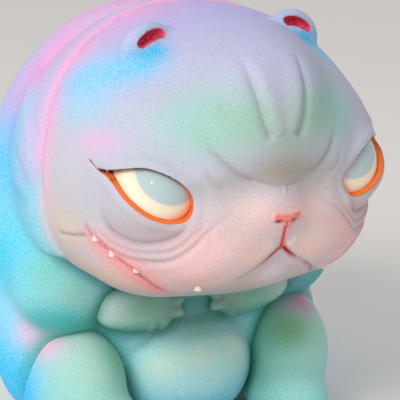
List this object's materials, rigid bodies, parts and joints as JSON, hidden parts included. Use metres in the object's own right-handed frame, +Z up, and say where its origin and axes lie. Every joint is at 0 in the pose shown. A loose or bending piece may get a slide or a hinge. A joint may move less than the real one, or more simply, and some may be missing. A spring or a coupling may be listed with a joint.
{
  "type": "vinyl art toy figure",
  "caption": "Squat hunched creature figure in airbrushed soft vinyl with a wide turning head, set-in eyes, small fangs, folded arms and sitting legs.",
  "frame": {"origin": "centre of the bounding box's footprint, on the ground under the sole", "axes": "+Z up, the face looks along -Y, the creature's left is +X"},
  "size_m": [0.1056, 0.1305, 0.1326],
  "materials": {
    "head_vinyl": "satin airbrushed soft vinyl, pink, lavender, mint and cream",
    "body_vinyl": "satin airbrushed soft vinyl, sky blue, teal and pink",
    "limb_vinyl": "satin airbrushed soft vinyl, aqua, mint and pink",
    "eye_gloss": "glossy painted ball under clear lacquer",
    "fang_gloss": "gloss white",
    "hard_plastic": "plain natural hard plastic, hidden inside"
  },
  "bodies": {
    "body": {"body_shell": "body_vinyl", "neck_bobbin": "hard_plastic", "left_shoulder_peg": "hard_plastic", "right_shoulder_peg": "hard_plastic", "left_hip_peg": "hard_plastic", "right_hip_peg": "hard_plastic"},
    "head": {"head_shell": "head_vinyl", "left_eyeball": "eye_gloss", "left_eye_cup": "hard_plastic", "right_eyeball": "eye_gloss", "right_eye_cup": "hard_plastic", "left_fang_1": "fang_gloss", "left_fang_2": "fang_gloss", "left_fang_3": "fang_gloss", "left_fang_4": "fang_gloss", "right_fang_1": "fang_gloss", "right_fang_2": "fang_gloss", "right_fang_3": "fang_gloss", "right_fang_4": "fang_gloss"},
    "left_arm": {"left_arm": "limb_vinyl"},
    "right_arm": {"right_arm": "limb_vinyl"},
    "left_leg": {"left_leg": "limb_vinyl"},
    "right_leg": {"right_leg": "limb_vinyl"}
  },
  "joints": [
    {"name": "head_turn", "type": "hinge", "parent": "body", "child": "head", "pos_m": [0, -0.015, 0.087], "axis": [0, 0, 1], "range_deg": [-6, 6]},
    {"name": "left_shoulder", "type": "hinge", "parent": "body", "child": "left_arm", "pos_m": [0.037, -0.001, 0.0455], "axis": [1, 0, 0], "range_deg": [-4, 2]},
    {"name": "right_shoulder", "type": "hinge", "parent": "body", "child": "right_arm", "pos_m": [-0.037, -0.001, 0.0455], "axis": [1, 0, 0], "range_deg": [-4, 2]},
    {"name": "left_hip", "type": "hinge", "parent": "body", "child": "left_leg", "pos_m": [0.035, -0.004, 0.02], "axis": [1, 0, 0], "range_deg": [-12, 0]},
    {"name": "right_hip", "type": "hinge", "parent": "body", "child": "right_leg", "pos_m": [-0.035, -0.004, 0.02], "axis": [1, 0, 0], "range_deg": [-12, 0]}
  ]
}
